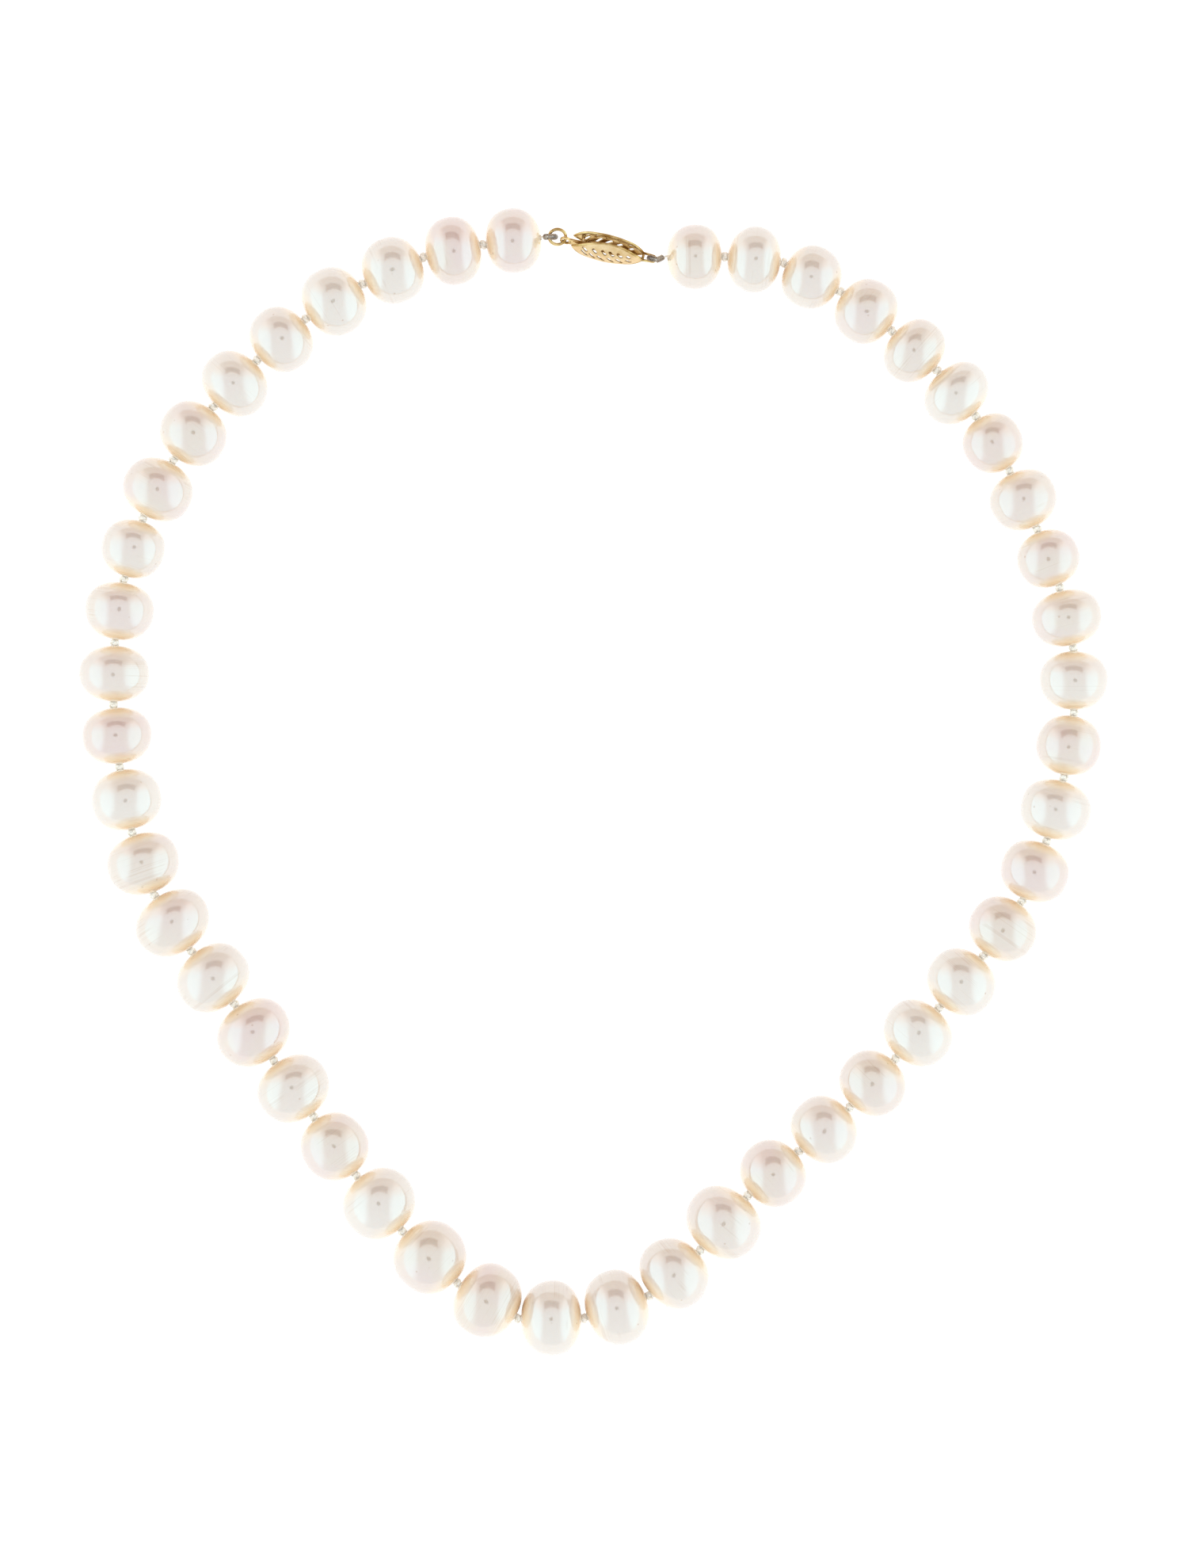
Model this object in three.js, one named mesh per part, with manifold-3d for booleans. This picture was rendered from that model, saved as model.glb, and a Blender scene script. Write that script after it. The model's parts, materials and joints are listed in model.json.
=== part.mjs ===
// A knotted pearl necklace, laid out flat and closed by a fishhook clasp.
// Millimetres, +Z up. Forty-six pearls on one silk thread with a knot in every gap, a sleeve of
// gimp wire at each end of the thread, a jump ring, the clasp's tongue and its pierced shell.
import * as THREE from 'three';
import { mergeVertices } from 'three/addons/utils/BufferGeometryUtils.js';
import Module from 'manifold-3d';

const wasm = await Module();
wasm.setup();

// ---- Driving dimensions ----------------------------------------------------------------------

// The strand's route: every second knot, from the jump ring's end anticlockwise to the shell's end.
const ROUTE = [
  [-7.3, 79.6], [-24.9, 76.6], [-42.0, 67.6], [-55.5, 54.8], [-65.8, 38.6], [-69.8, 20.5],
  [-69.1, 2.4], [-64.1, -16.3], [-52.4, -32.2], [-40.9, -48.6], [-27.9, -65.2], [-11.1, -77.9],
  [8.0, -74.7], [22.3, -60.0], [37.2, -47.2], [50.3, -32.7], [62.3, -17.2], [68.4, 0.8],
  [69.9, 19.7], [64.5, 37.0], [55.7, 53.5], [43.4, 65.9], [27.6, 75.8], [10.2, 76.7],
];

// Each pearl's diameter across the thread, in stringing order along the same route.
const PEARL_DIAMETERS = [
  9.6, 10.2, 9.9, 10.4, 10.0, 10.4, 10.1, 10.5, 9.4, 10.2, 10.3, 10.3, 10.4, 10.7, 11.3, 11.2,
  11.1, 10.9, 9.8, 11.0, 10.8, 11.1, 11.1, 11.1, 10.9, 11.5, 10.1, 10.2, 10.0, 10.4, 10.4, 10.1,
  10.2, 10.5, 9.5, 10.0, 10.4, 9.2, 9.9, 8.8, 10.2, 9.9, 9.7, 9.4, 9.7, 9.6,
];

const KNOT_GAP = 0.8;             // clear length between two pearls, filled by the knot
const KNOT_RADIUS = 0.55;
const KNOT_LENGTH = 0.6;
const BORE_RADIUS = 0.45;         // the drilled hole
const THREAD_RADIUS = 0.22;
const PEARL_SIDES = 12;
const PEARL_SQUARENESS = 2.3;     // exponent of the pearl's profile: 2 is an ellipse
const PEARL_LATITUDES = [-60, -20, 20, 60];

const GIMP_RADIUS = 0.4;          // the coiled wire sleeve, as a plain tube
const GIMP_HOLE = 0.26;
const GIMP_BEND = 0.9;            // radius of the loop that it makes round a wire
const GIMP_LEAD = 0.3;            // how far before the wire its legs are fully apart
const LOOP_THREAD_RADIUS = 0.14;
const GIMP_SHOULDER = 0.96;       // the legs' spread there, as a share of the bend's radius
const GIMP_NECK = 0.16;           // from the end knot to where the gimp starts
const GIMP_SPREAD = 0.48;         // between its middle and the loop's, at the neck
const LOOP_START = -0.2;          // the loop's thread starts inside the pearl
const LOOP_STEPS = 20;
const LOOP_SIDES = 6;
const GIMP_STEPS = 14;
const GIMP_SIDES = 8;
const THREAD_SIDES = 8;

const RING_RADIUS = 1.24;         // to the middle of its wire
const RING_WIRE = 0.2;
const WIRE_SIDES = 8;
const RING_STEPS = 24;
const RING_CENTRE = [-5.35, 79.6];

const SHELL_MOUTH = [-3.0, 79.05];
const SHELL_TURN = -12.9;         // degrees: the shell's axis in plan
const SHELL_ROLL = 61;            // degrees: the shell lies over on its side
const LEAF_LENGTH = 10.4;
const LEAF_WIDTH = 4.6;
const LEAF_THICKNESS = 0.3;
const LEAF_DOME = 1.1;
const LEAF_STEPS = 10;            // straight pieces along each edge of a leaf
const LEAF_GAP_MOUTH = 0.75;      // from the shell's middle plane to a rim, at the open end
const LEAF_GAP_CLOSED = 0.35;     // and at the end where the leaves meet
const SLOT_COUNT = 6;
const SLOT_PITCH = 1.25;
const SLOT_LENGTH = 1.1;
const SLOT_HEIGHT = 0.5;
const SLOT_SLANT = 0.55;
const SLOT_ROW = 0.65;            // from the leaf's middle line to each row of slots
const SLOT_CLIMB = 0.04;          // each slot sits this much higher than the one before

const TONGUE_WIDTH = 1.3;
const TONGUE_THICKNESS = 0.3;
const TONGUE_LENGTH = 6.2;        // from the mouth to the middle of its fold
const TONGUE_RETURN = 2.0;        // where the sprung lower strand stops
const TONGUE_HALF_HEIGHT = 0.4;
const EYE_RADIUS = 0.85;
const EYE_HOLE = 0.5;
const EYE_PLACE = -1.12;
const EYE_SEAM = 0.1;             // how far outside its hole the strip runs into the eye
const EYE_SIDES = 12;
const EYE_HOLE_SIDES = 10;
const FOLD_STEPS = 6;

const BAR_PLACE = 1.4;            // the catch bar, along the shell
const BAR_DEPTH = -0.78;
const BAR_RADIUS = 0.17;
const BAR_LENGTH = 1.7;
const BAR_SIDES = 8;

const BAIL_START = 10.45;
const BAIL_END = 12.4;
const BAIL_WALL = 0.34;
const BAIL_HALF_HEIGHT = 0.95;
const BAIL_DEPTH = 0.4;
const BAIL_NOSE = 0.7;            // half height of the bail's outer end
const BAIL_FOOT = 0.2;            // wall where the bail meets the leaves
const BAIL_ARM = 0.255;           // height of each of its two arms
const BAIL_TAPER = 0.8;           // the opening's outer end, as a share of its inner end

// ---- Materials -------------------------------------------------------------------------------

const NACRE = { color: 0xf0e8da, roughness: 0.28, metalness: 0 };
const SILK = { color: 0xf4efe4, roughness: 0.8, metalness: 0 };
const GOLD = { color: 0xc9983f, roughness: 0.28, metalness: 1 };
const MATTE_GOLD = { color: 0xe3cf9f, roughness: 0.6, metalness: 1 };
const GIMP_WIRE = { color: 0x8d7f66, roughness: 0.45, metalness: 1 };

const radians = THREE.MathUtils.degToRad;

function piece(name, geometry, finish) {
  const mesh = new THREE.Mesh(geometry, new THREE.MeshStandardMaterial(finish));
  mesh.name = name;
  return mesh;
}

// ---- Joining solids --------------------------------------------------------------------------

function toSolid(geometry) {
  const bare = geometry.clone();
  bare.deleteAttribute('normal');
  bare.deleteAttribute('uv');
  const merged = mergeVertices(bare, 1e-4);
  const source = { numProp: 3, vertProperties: merged.attributes.position.array };
  source.triVerts = new Uint32Array(merged.index.array);
  return new wasm.Manifold(new wasm.Mesh(source));
}

function toGeometry(solid) {
  const mesh = solid.getMesh();
  const geometry = new THREE.BufferGeometry();
  geometry.setAttribute('position', new THREE.BufferAttribute(mesh.vertProperties, mesh.numProp));
  geometry.setIndex(new THREE.BufferAttribute(mesh.triVerts, 1));
  geometry.computeVertexNormals();
  return geometry;
}

function joined(geometries) {
  return toGeometry(geometries.map(toSolid).reduce((sum, next) => sum.add(next)));
}

// ---- The strand's knots ----------------------------------------------------------------------

// A knot's height is that of the larger pearl beside it, so that every pearl clears the table.
function knotHeight(index) {
  const before = PEARL_DIAMETERS[Math.max(index - 1, 0)];
  const after = PEARL_DIAMETERS[Math.min(index, PEARL_DIAMETERS.length - 1)];
  return Math.max(before, after) / 2;
}

function makeKnots() {
  const path = new THREE.CatmullRomCurve3(ROUTE.map(([x, y]) => new THREE.Vector3(x, y, 0)));
  const knots = [];
  for (let index = 0; index <= PEARL_DIAMETERS.length; index += 1) {
    const knot = path.getPoint(index / PEARL_DIAMETERS.length);
    knot.z = knotHeight(index);
    knots.push(knot);
  }
  return knots;
}

const knots = makeKnots();

// ---- Pearls ----------------------------------------------------------------------------------

// Half of a rounded, slightly squared profile, closed along the drilled hole.
function pearlGeometry(diameter, length) {
  const flatRadius = diameter / 2 / Math.cos(Math.PI / PEARL_SIDES);
  const power = 2 / PEARL_SQUARENESS;
  const belt = Math.cos(radians(PEARL_LATITUDES[1])) ** power;
  const profile = [new THREE.Vector2(BORE_RADIUS, -length / 2)];
  for (const latitude of PEARL_LATITUDES) {
    const angle = radians(latitude);
    const radius = flatRadius * Math.cos(angle) ** power / belt;
    const along = length / 2 * Math.sign(angle) * Math.abs(Math.sin(angle)) ** power;
    profile.push(new THREE.Vector2(radius, along));
  }
  profile.push(new THREE.Vector2(BORE_RADIUS, length / 2));
  profile.push(profile[0].clone());
  const geometry = new THREE.LatheGeometry(profile, PEARL_SIDES);
  geometry.rotateY(Math.PI / PEARL_SIDES);
  return geometry;
}

// Turns +Y along the thread while one flat side of the pearl stays straight below it.
function alongThread(from, to) {
  const along = to.clone().sub(from).normalize();
  const side = new THREE.Vector3().crossVectors(along, new THREE.Vector3(0, 0, 1)).normalize();
  const up = new THREE.Vector3().crossVectors(side, along);
  return new THREE.Matrix4().makeBasis(side, along, up);
}

function makePearl(index) {
  const [from, to] = [knots[index], knots[index + 1]];
  const length = from.distanceTo(to) - KNOT_GAP;
  const label = String(index + 1).padStart(2, '0');
  const mesh = piece(`pearl_${label}`, pearlGeometry(PEARL_DIAMETERS[index], length), NACRE);
  mesh.position.copy(from).lerp(to, 0.5);
  mesh.quaternion.setFromRotationMatrix(alongThread(from, to));
  return mesh;
}

// ---- Tubes, thread and gimp ------------------------------------------------------------------

function polygon(radius, sides) {
  const points = [];
  for (let corner = 0; corner < sides; corner += 1) {
    const angle = 2 * Math.PI * corner / sides;
    points.push(new THREE.Vector2(radius * Math.cos(angle), radius * Math.sin(angle)));
  }
  return points;
}

function tube(curve, radius, steps, sides, hole = 0) {
  const section = new THREE.Shape(polygon(radius, sides));
  if (hole > 0) {
    section.holes.push(new THREE.Path(polygon(hole, sides)));
  }
  return new THREE.ExtrudeGeometry(section, { steps, extrudePath: curve, bevelEnabled: false });
}

function straightPath(points) {
  const path = new THREE.CurvePath();
  for (let index = 1; index < points.length; index += 1) {
    path.add(new THREE.LineCurve3(points[index - 1], points[index]));
  }
  return path;
}

// The loop that thread and gimp make round a wire at pivot: up, over it towards inward, down and
// back to the pearl. neck is how far past the knot each leg starts, and spread is its height there.
function loopCurve(knot, { pivot, inward }, neck, spread) {
  const approach = pivot.clone().sub(knot).setZ(0).normalize();
  const start = knot.clone().addScaledVector(approach, neck).setZ(pivot.z);
  const legPoints = (side) => [
    start.clone().setZ(pivot.z + side * spread),
    pivot.clone().addScaledVector(inward, -GIMP_LEAD).setZ(pivot.z + side * GIMP_BEND * GIMP_SHOULDER),
  ];
  const bend = [];
  for (let angle = 90; angle >= -90; angle -= 30) {
    const point = pivot.clone().addScaledVector(inward, GIMP_BEND * Math.cos(radians(angle)));
    point.z += GIMP_BEND * Math.sin(radians(angle));
    bend.push(point);
  }
  return new THREE.CatmullRomCurve3([...legPoints(1), ...bend, ...legPoints(-1).reverse()]);
}

function knotGeometry(index) {
  const geometry = new THREE.OctahedronGeometry(1, 1);
  geometry.scale(KNOT_RADIUS, KNOT_LENGTH / 2, KNOT_RADIUS);
  const before = knots[Math.max(index - 1, 0)];
  const after = knots[Math.min(index + 1, knots.length - 1)];
  geometry.applyMatrix4(alongThread(before, after));
  geometry.translate(knots[index].x, knots[index].y, knots[index].z);
  return geometry;
}

function makeThread(ringLoop, bailLoop) {
  const solids = [];
  for (let index = 0; index + 1 < knots.length; index += 1) {
    solids.push(tube(straightPath([knots[index], knots[index + 1]]), THREAD_RADIUS, 1, THREAD_SIDES));
  }
  for (let index = 1; index + 1 < knots.length; index += 1) {
    solids.push(knotGeometry(index));
  }
  for (const [knot, loop] of [[knots[0], ringLoop], [knots[knots.length - 1], bailLoop]]) {
    const curve = loopCurve(knot, loop, LOOP_START, 0);
    solids.push(tube(curve, LOOP_THREAD_RADIUS, LOOP_STEPS, LOOP_SIDES));
  }
  return piece('silk_thread', joined(solids), SILK);
}

function makeGimp(name, knot, loop) {
  const curve = loopCurve(knot, loop, GIMP_NECK, GIMP_SPREAD);
  return piece(name, tube(curve, GIMP_RADIUS, GIMP_STEPS, GIMP_SIDES, GIMP_HOLE), GIMP_WIRE);
}

// ---- The clasp, in its own frame: x along the shell, y across its leaves, z out of the front leaf

function leafOutline() {
  const half = LEAF_LENGTH / 2;
  const radius = (half ** 2 + (LEAF_WIDTH / 2) ** 2) / LEAF_WIDTH;
  const sweep = Math.asin(half / radius);
  const drop = radius - LEAF_WIDTH / 2;
  const points = [];
  for (const side of [-1, 1]) {
    for (let step = 0; step < LEAF_STEPS; step += 1) {
      const angle = sweep * (2 * step / LEAF_STEPS - 1);
      points.push(new THREE.Vector2(
        half - side * radius * Math.sin(angle), side * (radius * Math.cos(angle) - drop),
      ));
    }
  }
  return new THREE.Shape(points);
}

function slot(centreX, centreY, length) {
  const [halfLength, halfHeight] = [length / 2, SLOT_HEIGHT / 2];
  return new THREE.Path([
    new THREE.Vector2(centreX - halfLength + SLOT_SLANT, centreY - halfHeight),
    new THREE.Vector2(centreX - halfLength, centreY + halfHeight),
    new THREE.Vector2(centreX + halfLength - SLOT_SLANT, centreY + halfHeight),
    new THREE.Vector2(centreX + halfLength, centreY - halfHeight),
  ]);
}

// A pierced marquise plate pushed up into a dome; side is 1 for the front leaf, -1 for the back.
function leafGeometry(side) {
  const outline = leafOutline();
  for (let index = 0; index < SLOT_COUNT; index += 1) {
    const offset = (index - (SLOT_COUNT - 1) / 2) * SLOT_PITCH;
    const row = SLOT_ROW * (1 - (2 * offset / LEAF_LENGTH) ** 2 / 2);
    const climb = index * SLOT_CLIMB;
    outline.holes.push(slot(LEAF_LENGTH / 2 + offset, row + climb, SLOT_LENGTH));
    if (index > 0 && index < SLOT_COUNT - 1) {
      outline.holes.push(slot(LEAF_LENGTH / 2 + offset, climb - row, SLOT_LENGTH));
    }
  }
  const settings = { depth: LEAF_THICKNESS, bevelEnabled: false };
  const geometry = new THREE.ExtrudeGeometry(outline, settings);
  const position = geometry.attributes.position;
  for (let index = 0; index < position.count; index += 1) {
    const along = position.getX(index) / LEAF_LENGTH;
    const across = position.getY(index) / LEAF_WIDTH;
    const rim = THREE.MathUtils.lerp(LEAF_GAP_MOUTH, LEAF_GAP_CLOSED, along);
    const rise = rim + LEAF_DOME * Math.max(0, 1 - (2 * along - 1) ** 2 - (2 * across) ** 2);
    const base = side > 0 ? rise : -rise - LEAF_THICKNESS;
    position.setZ(index, position.getZ(index) + base);
  }
  return geometry;
}

// The folded strip: an upper strand going in, a round fold, and a shorter strand coming back.
function tongueStrip() {
  const [outer, inner] = [TONGUE_HALF_HEIGHT, TONGUE_HALF_HEIGHT - TONGUE_THICKNESS];
  const outline = new THREE.Shape();
  outline.moveTo(EYE_PLACE + EYE_HOLE + EYE_SEAM, inner);
  outline.lineTo(TONGUE_LENGTH, inner);
  outline.absarc(TONGUE_LENGTH, 0, inner, Math.PI / 2, -Math.PI / 2, true);
  outline.lineTo(TONGUE_RETURN, -inner);
  outline.lineTo(TONGUE_RETURN, -outer);
  outline.lineTo(TONGUE_LENGTH, -outer);
  outline.absarc(TONGUE_LENGTH, 0, outer, -Math.PI / 2, Math.PI / 2, false);
  outline.lineTo(EYE_PLACE + EYE_HOLE + EYE_SEAM, outer);
  const settings = { depth: TONGUE_WIDTH, bevelEnabled: false, curveSegments: FOLD_STEPS };
  const geometry = new THREE.ExtrudeGeometry(outline, settings);
  geometry.rotateX(Math.PI / 2);
  geometry.translate(0, TONGUE_WIDTH / 2, 0);
  return geometry;
}

// The flat eye that the jump ring passes through, at the strip's outer end.
function tongueEye() {
  const disc = new THREE.Shape(polygon(EYE_RADIUS, EYE_SIDES));
  disc.holes.push(new THREE.Path(polygon(EYE_HOLE, EYE_HOLE_SIDES)));
  const settings = { depth: TONGUE_THICKNESS, bevelEnabled: false };
  const geometry = new THREE.ExtrudeGeometry(disc, settings);
  geometry.translate(EYE_PLACE, 0, TONGUE_HALF_HEIGHT - TONGUE_THICKNESS);
  return geometry;
}

function barGeometry() {
  const geometry = new THREE.CylinderGeometry(BAR_RADIUS, BAR_RADIUS, BAR_LENGTH, BAR_SIDES);
  geometry.translate(BAR_PLACE, 0, BAR_DEPTH);
  return geometry;
}

// A small frame with a tapered opening, soldered where the two leaves meet.
function bailGeometry() {
  const outline = new THREE.Shape([
    new THREE.Vector2(BAIL_START, -BAIL_HALF_HEIGHT), new THREE.Vector2(BAIL_END, -BAIL_NOSE),
    new THREE.Vector2(BAIL_END, BAIL_NOSE), new THREE.Vector2(BAIL_START, BAIL_HALF_HEIGHT),
  ]);
  const holeStart = BAIL_START + BAIL_FOOT;
  const holeEnd = BAIL_END - BAIL_WALL;
  const holeHalf = BAIL_HALF_HEIGHT - BAIL_ARM;
  outline.holes.push(new THREE.Path([
    new THREE.Vector2(holeStart, -holeHalf), new THREE.Vector2(holeStart, holeHalf),
    new THREE.Vector2(holeEnd, holeHalf * BAIL_TAPER),
    new THREE.Vector2(holeEnd, -holeHalf * BAIL_TAPER),
  ]));
  const settings = { depth: BAIL_DEPTH, bevelEnabled: false };
  const geometry = new THREE.ExtrudeGeometry(outline, settings);
  geometry.rotateX(Math.PI / 2);
  geometry.translate(0, BAIL_DEPTH / 2, 0);
  return geometry;
}

// ---- Assembly --------------------------------------------------------------------------------

const claspHeight = knots[0].z;

const shell = new THREE.Group();
shell.position.set(SHELL_MOUTH[0], SHELL_MOUTH[1], claspHeight);
shell.rotation.set(radians(SHELL_ROLL), 0, radians(SHELL_TURN), 'ZYX');
shell.add(
  piece('hook_tongue', joined([tongueStrip(), tongueEye()]), MATTE_GOLD),
  piece('clasp_front_leaf', leafGeometry(1), MATTE_GOLD),
  piece('clasp_back_leaf', leafGeometry(-1), GOLD),
  piece('catch_bar', barGeometry(), GOLD),
  piece('clasp_bail', bailGeometry(), GOLD),
);
shell.updateMatrixWorld(true);

const ringShape = new THREE.TorusGeometry(RING_RADIUS, RING_WIRE, WIRE_SIDES, RING_STEPS);
const ring = piece('jump_ring', ringShape, GOLD);
ring.position.set(RING_CENTRE[0], RING_CENTRE[1], claspHeight);

// Where each gimp loop turns: round the jump ring's wire, and round the bail's outer end.
const ringLoop = {
  pivot: new THREE.Vector3(RING_CENTRE[0] - RING_RADIUS, RING_CENTRE[1], claspHeight),
  inward: new THREE.Vector3(1, 0, 0),
};
const bailLoop = {
  pivot: shell.localToWorld(new THREE.Vector3(BAIL_END - BAIL_WALL / 2, 0, 0)),
  inward: new THREE.Vector3(-1, 0, 0).transformDirection(shell.matrixWorld),
};

const necklace = new THREE.Group();
for (let index = 0; index < PEARL_DIAMETERS.length; index += 1) {
  necklace.add(makePearl(index));
}
necklace.add(makeThread(ringLoop, bailLoop));
necklace.add(makeGimp('gimp_left', knots[0], ringLoop));
necklace.add(makeGimp('gimp_right', knots[knots.length - 1], bailLoop));
necklace.add(ring, shell);

// The origin is the middle of the necklace's outline, on the surface that it lies on.
const extent = new THREE.Box3().setFromObject(necklace, true);
const middle = extent.getCenter(new THREE.Vector3());
necklace.position.set(-middle.x, -middle.y, -extent.min.z);

const model = new THREE.Group();
model.add(necklace);

export default model;
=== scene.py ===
# %% [markdown]
# # A knotted pearl necklace in Blender
#
# This lesson dresses a plain model of a pearl necklace. The plain model says where each pearl
# sits and how the strand bends. Here every pearl gets its nacre, the thread gets its twist and its
# knots, and the little gold clasp gets its pierced leaves. Lengths are in metres, so a millimetre
# is a number of its own, used all the way through.

# %% Load the plain model
import json
import math
import random

import bmesh
import bpy
from mathutils import Matrix, Vector, noise

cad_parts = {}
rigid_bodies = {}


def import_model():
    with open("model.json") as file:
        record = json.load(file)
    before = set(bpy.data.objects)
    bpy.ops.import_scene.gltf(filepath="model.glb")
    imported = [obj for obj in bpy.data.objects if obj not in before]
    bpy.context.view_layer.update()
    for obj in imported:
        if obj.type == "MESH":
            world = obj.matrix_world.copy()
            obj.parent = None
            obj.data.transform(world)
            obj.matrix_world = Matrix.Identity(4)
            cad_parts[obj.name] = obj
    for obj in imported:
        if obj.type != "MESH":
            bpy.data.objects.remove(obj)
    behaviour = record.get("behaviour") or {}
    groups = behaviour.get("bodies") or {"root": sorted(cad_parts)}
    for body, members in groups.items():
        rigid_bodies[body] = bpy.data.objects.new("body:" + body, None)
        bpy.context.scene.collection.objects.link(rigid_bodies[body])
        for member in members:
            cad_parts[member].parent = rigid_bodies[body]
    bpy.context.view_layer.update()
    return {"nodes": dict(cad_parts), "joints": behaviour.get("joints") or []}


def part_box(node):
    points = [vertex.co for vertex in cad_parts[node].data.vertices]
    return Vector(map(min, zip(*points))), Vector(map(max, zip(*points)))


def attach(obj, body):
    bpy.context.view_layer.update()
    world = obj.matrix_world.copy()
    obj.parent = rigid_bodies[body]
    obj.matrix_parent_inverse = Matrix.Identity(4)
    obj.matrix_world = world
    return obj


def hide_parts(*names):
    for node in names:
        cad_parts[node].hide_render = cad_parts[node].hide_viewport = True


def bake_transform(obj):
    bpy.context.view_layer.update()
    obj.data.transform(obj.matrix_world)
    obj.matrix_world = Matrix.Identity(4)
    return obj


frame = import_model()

MM = 0.001
DEGREE = math.pi / 180

# %% [markdown]
# ## Looking straight down
#
# The necklace lies on a table and is seen from straight above. A long lens from two metres away
# keeps every pearl round, because a short lens would show the outer pearls from the side.

# %% Camera
VIEW_WIDTH = 173.1 * MM
VIEW_SHAPE = 1.3193
VIEW_MIDDLE = Vector((0.07 * MM, -0.36 * MM, 0))
CAMERA_HEIGHT = 2.0
SENSOR = 24.0
PEARL_MIDDLE_HEIGHT = 5 * MM


def add_camera():
    """Puts the camera over the middle, with the lens that the view's height asks for."""
    data = bpy.data.cameras.new("overhead")
    data.sensor_fit = "VERTICAL"
    data.sensor_height = SENSOR
    data.lens = SENSOR * (CAMERA_HEIGHT - PEARL_MIDDLE_HEIGHT) / (VIEW_WIDTH * VIEW_SHAPE)
    camera = bpy.data.objects.new("overhead", data)
    camera.location = VIEW_MIDDLE + Vector((0, 0, CAMERA_HEIGHT))
    bpy.context.scene.collection.objects.link(camera)
    bpy.context.scene.camera = camera
    return camera


camera = add_camera()
print("lens", round(camera.data.lens), "mm")

# %% [markdown]
# ## Colours and nodes
#
# Colours are easiest to choose as the hex values of a paint chart, but shaders add and multiply
# light, so each one is turned to linear light first. One small function adds a node, sets its
# inputs and plugs others in, and every finish below is written with it.

# %% Colour and node helpers
def linear(hex_colour):
    """An sRGB hex colour as linear red, green, blue and alpha."""
    channels = [int(hex_colour[i:i + 2], 16) / 255 for i in (1, 3, 5)]
    steps = [c / 12.92 if c <= 0.04045 else ((c + 0.055) / 1.055) ** 2.4 for c in channels]
    return (*steps, 1.0)


def add_node(tree, kind, settings=None, **inputs):
    """Adds a node. An input is a value, or a socket that gives it one."""
    node = tree.nodes.new(kind)
    for name, value in (settings or {}).items():
        setattr(node, name, value)
    for name, value in inputs.items():
        key = int(name[1:]) if name[0] == "_" and name[1:].isdigit() else name.replace("_", " ")
        if isinstance(value, bpy.types.NodeSocket):
            tree.links.new(value, node.inputs[key])
        else:
            node.inputs[key].default_value = value
    return node


def new_finish(name):
    """An empty material, its node tree and its output."""
    material = bpy.data.materials.new(name)
    material.use_nodes = True
    material.node_tree.nodes.clear()
    output = material.node_tree.nodes.new("ShaderNodeOutputMaterial")
    return material, material.node_tree, output


print("pure white is", linear("#ffffff"))

# %% [markdown]
# ## The table and the light
#
# Pearls are photographed in a tent of soft light, because they mirror everything around them.
# Two tall soft boxes stand left and right and give each pearl its pair of broad white lights. The
# ceiling between them is dimmer, and the wall beyond the clasp is dimmer and warmer still. One
# duskier panel in that wall shows as the small pink patch that each pearl carries, and the lens
# above shows as a dot. All of that is painted on the
# sky. The table is a sheet of backlit acrylic, which is how a pure white ground without shadows is
# made, so it glows a little by itself.

# %% Table
TABLE_SIZE = 3.0
BACKLIGHT = 1.02
ACRYLIC_GREY = "#6e6e6e"
ACRYLIC_ROUGHNESS = 0.6


def add_table():
    """A large sheet of backlit white acrylic just under the pearls."""
    sheet = bmesh.new()
    bmesh.ops.create_grid(sheet, x_segments=1, y_segments=1, size=TABLE_SIZE)
    mesh = bpy.data.meshes.new("table")
    sheet.to_mesh(mesh)
    sheet.free()
    table = bpy.data.objects.new("table", mesh)
    bpy.context.scene.collection.objects.link(table)
    material, tree, output = new_finish("backlit_white_acrylic")
    acrylic = add_node(tree, "ShaderNodeBsdfPrincipled", Base_Color=linear(ACRYLIC_GREY),
                       Roughness=ACRYLIC_ROUGHNESS, Emission_Color=linear("#ffffff"),
                       Emission_Strength=BACKLIGHT)
    tree.links.new(acrylic.outputs[0], output.inputs[0])
    mesh.materials.append(material)
    return table


table = add_table()
print("the table is", 2 * TABLE_SIZE, "m across")

# %% Light
CEILING_LIGHT = 1.16
BOX_LIGHT = 1.94
BOX_COOL = "#dcf6ff"
CEILING_COOL = "#f0f8ff"
FAR_WALL_DIMMING = 0.75
FAR_WALL_WARM = "#fff0e6"
GAP_DIMMING = 0.38
GAP_GLOW = "#d99a88"
GAP_HEIGHT = 0.62
GAP_HALF_WIDTH = 0.42
GAP_HALF_HEIGHT = 0.14
GAP_SOFTNESS = 0.05
CAMERA_DIMMING = 0.0
CAMERA_HOLE = (0.07, 0.14)
BOX_EDGE = (0.46, 0.74)
FAR_WALL = (0.2, 0.95)
GAP_WALL = (0.05, 0.1)


def smooth_step(tree, value, start, end, low, high):
    """A socket that goes smoothly from low to high while value goes from start to end."""
    return add_node(tree, "ShaderNodeMapRange", {"interpolation_type": "SMOOTHSTEP"}, _0=value,
                    _1=start, _2=end, _3=low, _4=high).outputs[0]


def product(tree, first, second):
    return add_node(tree, "ShaderNodeMath", {"operation": "MULTIPLY"},
                    _0=first, _1=second).outputs[0]


def wall_panel(tree, parts, middle, half_width, half_height, soft):
    """0 over most of the tent and 1 over one rectangle of far wall, placed by x and z."""
    sides = []
    for axis, centre, half in ((0, 0.0, half_width), (2, middle, half_height)):
        away = add_node(tree, "ShaderNodeMath", {"operation": "SUBTRACT"},
                        _0=parts[axis], _1=centre).outputs[0]
        away = add_node(tree, "ShaderNodeMath", {"operation": "ABSOLUTE"}, _0=away).outputs[0]
        sides.append(smooth_step(tree, away, half - soft, half + soft, 1.0, 0.0))
    far = smooth_step(tree, parts[1], *GAP_WALL, 0.0, 1.0)
    return product(tree, far, product(tree, *sides))


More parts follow.
